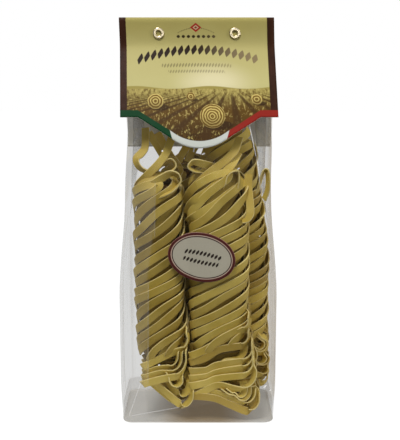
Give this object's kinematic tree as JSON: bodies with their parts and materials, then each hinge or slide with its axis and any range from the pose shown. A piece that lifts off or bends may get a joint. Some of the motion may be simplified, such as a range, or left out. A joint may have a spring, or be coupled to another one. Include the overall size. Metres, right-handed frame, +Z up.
{
  "type": "bag of dry pasta nests",
  "caption": "Clear block-bottom bag filled with long twisted nests of dry ribbon pasta, closed by a folded card header with eyelets and an oval label.",
  "frame": {"origin": "middle of the flat base, at the bottom centre of the bounding box", "axes": "+Z up along the bag's height, -Y out of the printed front, +X to the right seen from the front"},
  "size_m": [0.1232, 0.075, 0.3174],
  "materials": {
    "film": "clear film over pale straw pasta",
    "card": "satin printed card",
    "label": "semi-gloss printed paper",
    "eyelet": "polished pale gold"
  },
  "bodies": {
    "root": {"bag": "film", "header_card": "card", "label": "label", "eyelet_left": "eyelet", "eyelet_right": "eyelet"}
  },
  "joints": []
}
